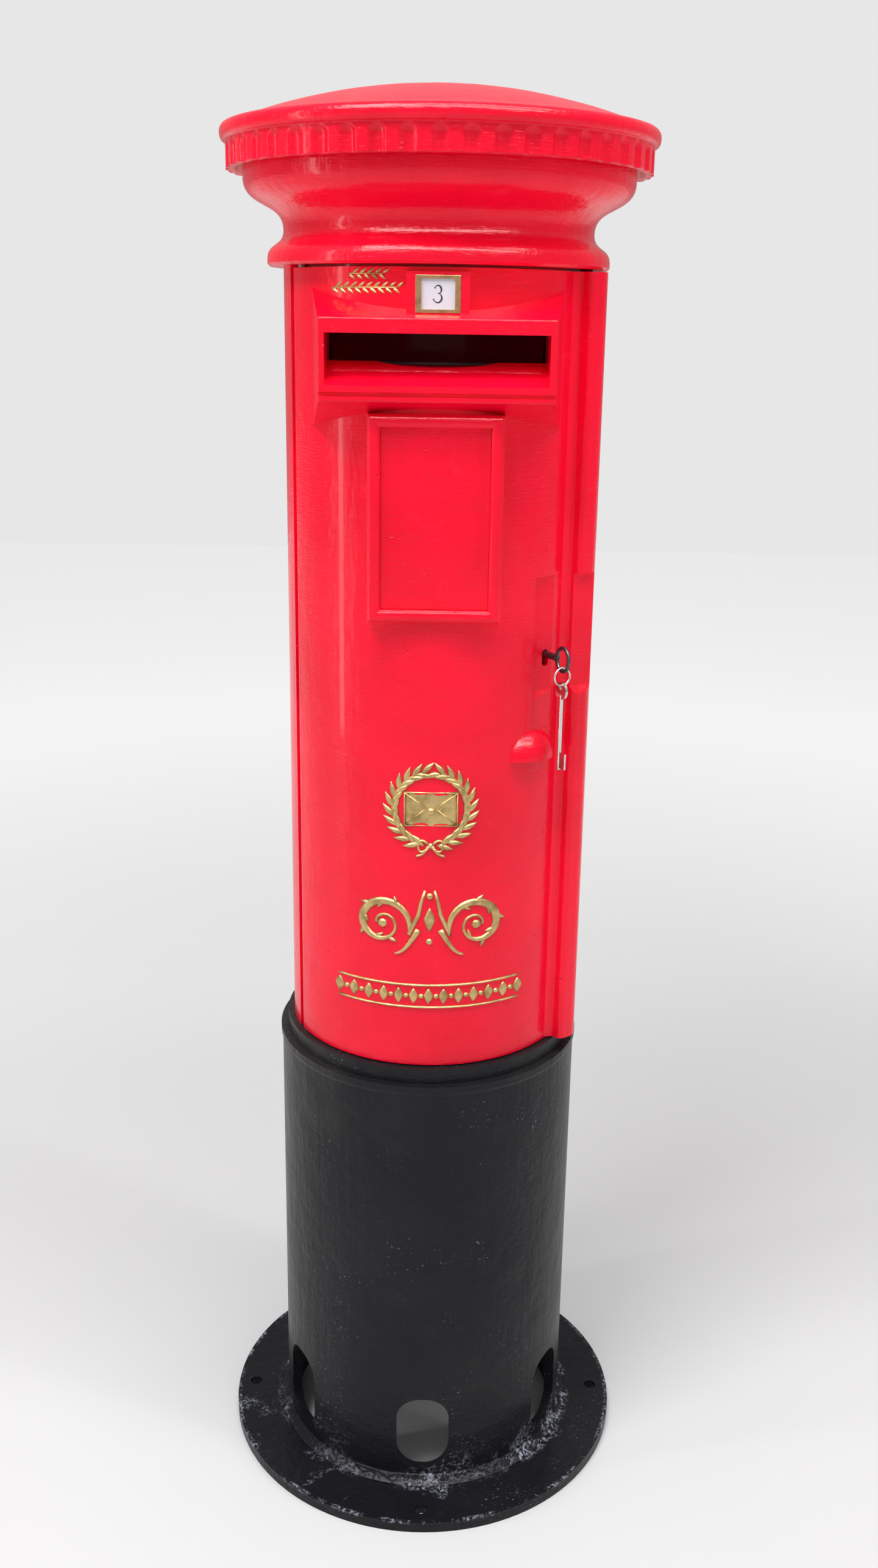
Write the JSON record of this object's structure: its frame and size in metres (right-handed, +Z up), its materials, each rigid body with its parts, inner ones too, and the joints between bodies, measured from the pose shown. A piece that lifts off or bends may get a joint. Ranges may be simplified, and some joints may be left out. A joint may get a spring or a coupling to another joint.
{
  "type": "pillar letter box",
  "caption": "Free-standing cylindrical cast-iron pillar letter box with hinged door, lever lock, keys, posting hood and flanged root plinth.",
  "frame": {"origin": "centre of the root flange's underside", "axes": "+Z up the pillar, front (door and posting slot) faces -Y, +X to the viewer's right"},
  "size_m": [0.5719, 0.572, 1.867],
  "materials": {
    "red_paint": "thick gloss brushed paint on cast iron",
    "black_paint": "gloss black brushed paint on cast iron",
    "gold_paint": "dull gold paint",
    "zinc_steel": "zinc coated",
    "steel": "oiled",
    "dark_steel": "handled dark steel",
    "nickel": "polished nickel plate",
    "black_iron": "black varnish",
    "brass": "aged",
    "tab_enamel": "pale vitreous enamel"
  },
  "bodies": {
    "root": {"plinth": "black_paint", "carcase": "red_paint", "cornice": "red_paint", "cap": "red_paint", "cap_studs": "steel", "floor_plate": "zinc_steel", "base_bolts": "steel", "base_nuts": "steel", "crown_bolts": "steel", "crown_nuts": "steel", "hinge_pintles": "steel", "hinge_washer": "brass", "strike_plate": "steel", "strike_screws": "steel", "guard_hooks": "black_iron"},
    "door": {"door": "red_paint", "hinge_bushes": "brass", "notice_plate": "red_paint", "tab_frame": "brass", "chute": "black_iron", "chute_screws": "steel", "lock_case": "brass", "lock_cover": "brass", "lock_screws": "steel", "lever_pivot": "steel", "gilt_wreath": "gold_paint", "gilt_envelope": "gold_paint", "gilt_scrolls": "gold_paint", "gilt_band": "gold_paint", "gilt_sprig": "gold_paint"},
    "lock_bolt": {"lock_bolt": "brass"},
    "levers": {"levers": "brass"},
    "key": {"key": "dark_steel"},
    "key_ring": {"key_ring": "nickel"},
    "spare_key": {"spare_key": "nickel"},
    "collection_tab": {"collection_tab": "tab_enamel"},
    "letter_guard": {"letter_guard": "zinc_steel"}
  },
  "joints": [
    {"name": "door_swing", "type": "hinge", "parent": "root", "child": "door", "pos_m": [-0.16064, -0.08009, 1.1645], "axis": [0, 0, -1], "range_deg": [0, 100]},
    {"name": "key_turn", "type": "hinge", "parent": "door", "child": "key", "pos_m": [0.13049, -0.10941, 1.207], "axis": [-0.5, 0.866, 0], "range_deg": [0, 360]},
    {"name": "bolt_throw", "type": "slide", "parent": "door", "child": "lock_bolt", "axis": [0.866, 0.5, 0], "range_m": [0, 0.012]},
    {"name": "lever_lift", "type": "hinge", "parent": "door", "child": "levers", "pos_m": [0.09921, -0.10784, 1.245], "axis": [0.5, -0.866, 0], "range_deg": [0, 6]},
    {"name": "ring_swing", "type": "hinge", "parent": "key", "child": "key_ring", "pos_m": [0.15899, -0.15878, 1.195], "axis": [0.5, -0.866, 0], "range_deg": [-30, 30]},
    {"name": "spare_key_swing", "type": "hinge", "parent": "key_ring", "child": "spare_key", "pos_m": [0.15899, -0.15878, 1.1745], "axis": [-0.866, -0.5, 0], "range_deg": [0, 35]},
    {"name": "tab_slide", "type": "slide", "parent": "door", "child": "collection_tab", "axis": [0, 1, 0], "range_m": [0, 0.03]},
    {"name": "guard_lift", "type": "slide", "parent": "root", "child": "letter_guard", "axis": [0, 0, 1], "range_m": [0, 0.04]}
  ],
  "couplings": [
    {"joint": "bolt_throw", "follows": "key_turn", "m_per_rad": 0.0019099}
  ]
}
